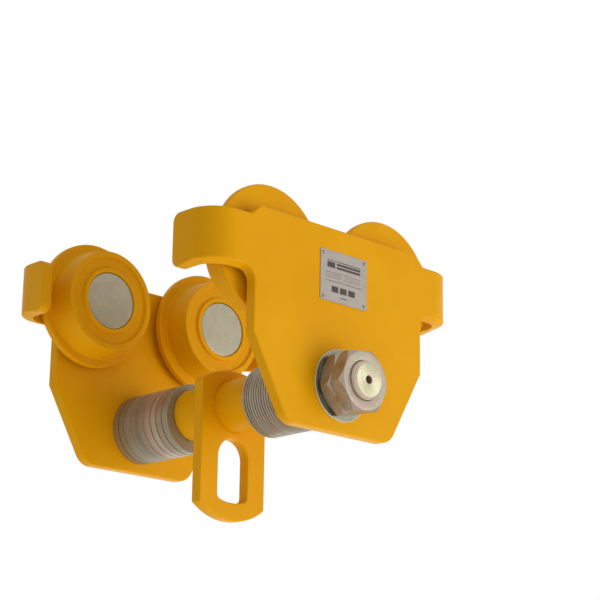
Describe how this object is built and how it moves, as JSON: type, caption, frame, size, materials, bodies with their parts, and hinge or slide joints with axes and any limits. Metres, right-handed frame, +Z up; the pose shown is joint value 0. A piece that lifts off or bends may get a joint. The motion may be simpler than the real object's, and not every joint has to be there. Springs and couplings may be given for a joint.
{
  "type": "manual beam trolley",
  "caption": "Push-type trolley that rolls on the lower flange of an I-beam: bumper-ended side plates with flanged wheels, washer-spaced load shaft and a slotted hanger plate.",
  "frame": {"origin": "middle of the surface that the wheels run on, which is the top of the beam's lower flange in the plane of its web, half way between the axles", "axes": "+X along the beam, +Y across it along the load shaft, +Z up"},
  "size_m": [0.444, 0.518, 0.397],
  "materials": {
    "yellow_paint": "semi-gloss golden yellow paint",
    "zinc_plate": "yellow-passivated zinc plating",
    "bright_steel": "turned steel",
    "bearing_steel": "ground bearing steel",
    "spring_steel": "blackened spring steel",
    "aluminium_tag": "matt anodised sheet"
  },
  "bodies": {
    "carriage": {"near_side_plate": "yellow_paint", "far_side_plate": "yellow_paint", "load_shaft": "zinc_plate", "near_thin_washers": "zinc_plate", "near_thick_washers": "zinc_plate", "far_thin_washers": "zinc_plate", "far_thick_washers": "zinc_plate", "near_outer_washer": "zinc_plate", "far_outer_washer": "zinc_plate", "near_inner_nut": "zinc_plate", "far_inner_nut": "zinc_plate", "near_lock_nut": "zinc_plate", "far_lock_nut": "zinc_plate", "nameplate": "aluminium_tag", "nameplate_rivets": "bright_steel", "axle_near_left": "bright_steel", "bearing_inner_ring_near_left": "bearing_steel", "axle_circlip_near_left": "spring_steel", "axle_near_right": "bright_steel", "bearing_inner_ring_near_right": "bearing_steel", "axle_circlip_near_right": "spring_steel", "axle_far_left": "bright_steel", "bearing_inner_ring_far_left": "bearing_steel", "axle_circlip_far_left": "spring_steel", "axle_far_right": "bright_steel", "bearing_inner_ring_far_right": "bearing_steel", "axle_circlip_far_right": "spring_steel"},
    "wheel_near_left": {"wheel_near_left": "yellow_paint", "bearing_outer_ring_near_left": "bearing_steel", "bore_circlip_near_left": "spring_steel", "dust_cap_near_left": "zinc_plate"},
    "balls_near_left": {"bearing_balls_near_left": "bearing_steel"},
    "wheel_near_right": {"wheel_near_right": "yellow_paint", "bearing_outer_ring_near_right": "bearing_steel", "bore_circlip_near_right": "spring_steel", "dust_cap_near_right": "zinc_plate"},
    "balls_near_right": {"bearing_balls_near_right": "bearing_steel"},
    "wheel_far_left": {"wheel_far_left": "yellow_paint", "bearing_outer_ring_far_left": "bearing_steel", "bore_circlip_far_left": "spring_steel", "dust_cap_far_left": "zinc_plate"},
    "balls_far_left": {"bearing_balls_far_left": "bearing_steel"},
    "wheel_far_right": {"wheel_far_right": "yellow_paint", "bearing_outer_ring_far_right": "bearing_steel", "bore_circlip_far_right": "spring_steel", "dust_cap_far_right": "zinc_plate"},
    "balls_far_right": {"bearing_balls_far_right": "bearing_steel"},
    "hanger": {"hanger_plate": "yellow_paint", "hanger_sleeve": "yellow_paint"}
  },
  "joints": [
    {"name": "wheel_near_left_roll", "type": "hinge", "parent": "carriage", "child": "wheel_near_left", "pos_m": [-0.1025, -0.1605, 0.075], "axis": [0, 1, 0], "continuous": true},
    {"name": "balls_near_left_orbit", "type": "hinge", "parent": "carriage", "child": "balls_near_left", "pos_m": [-0.1025, -0.1605, 0.075], "axis": [0, 1, 0], "continuous": true},
    {"name": "wheel_near_right_roll", "type": "hinge", "parent": "carriage", "child": "wheel_near_right", "pos_m": [0.1025, -0.1605, 0.075], "axis": [0, 1, 0], "continuous": true},
    {"name": "balls_near_right_orbit", "type": "hinge", "parent": "carriage", "child": "balls_near_right", "pos_m": [0.1025, -0.1605, 0.075], "axis": [0, 1, 0], "continuous": true},
    {"name": "wheel_far_left_roll", "type": "hinge", "parent": "carriage", "child": "wheel_far_left", "pos_m": [-0.1025, 0.1605, 0.075], "axis": [0, 1, 0], "continuous": true},
    {"name": "balls_far_left_orbit", "type": "hinge", "parent": "carriage", "child": "balls_far_left", "pos_m": [-0.1025, 0.1605, 0.075], "axis": [0, 1, 0], "continuous": true},
    {"name": "wheel_far_right_roll", "type": "hinge", "parent": "carriage", "child": "wheel_far_right", "pos_m": [0.1025, 0.1605, 0.075], "axis": [0, 1, 0], "continuous": true},
    {"name": "balls_far_right_orbit", "type": "hinge", "parent": "carriage", "child": "balls_far_right", "pos_m": [0.1025, 0.1605, 0.075], "axis": [0, 1, 0], "continuous": true},
    {"name": "hanger_swing", "type": "hinge", "parent": "carriage", "child": "hanger", "pos_m": [0, 0, -0.0845], "axis": [0, 1, 0], "range_deg": [-30, 30]}
  ],
  "couplings": [
    {"joint": "balls_near_left_orbit", "follows": "wheel_near_left_roll", "ratio": 0.6113},
    {"joint": "balls_near_right_orbit", "follows": "wheel_near_right_roll", "ratio": 0.6113},
    {"joint": "balls_far_left_orbit", "follows": "wheel_far_left_roll", "ratio": 0.6113},
    {"joint": "balls_far_right_orbit", "follows": "wheel_far_right_roll", "ratio": 0.6113}
  ]
}
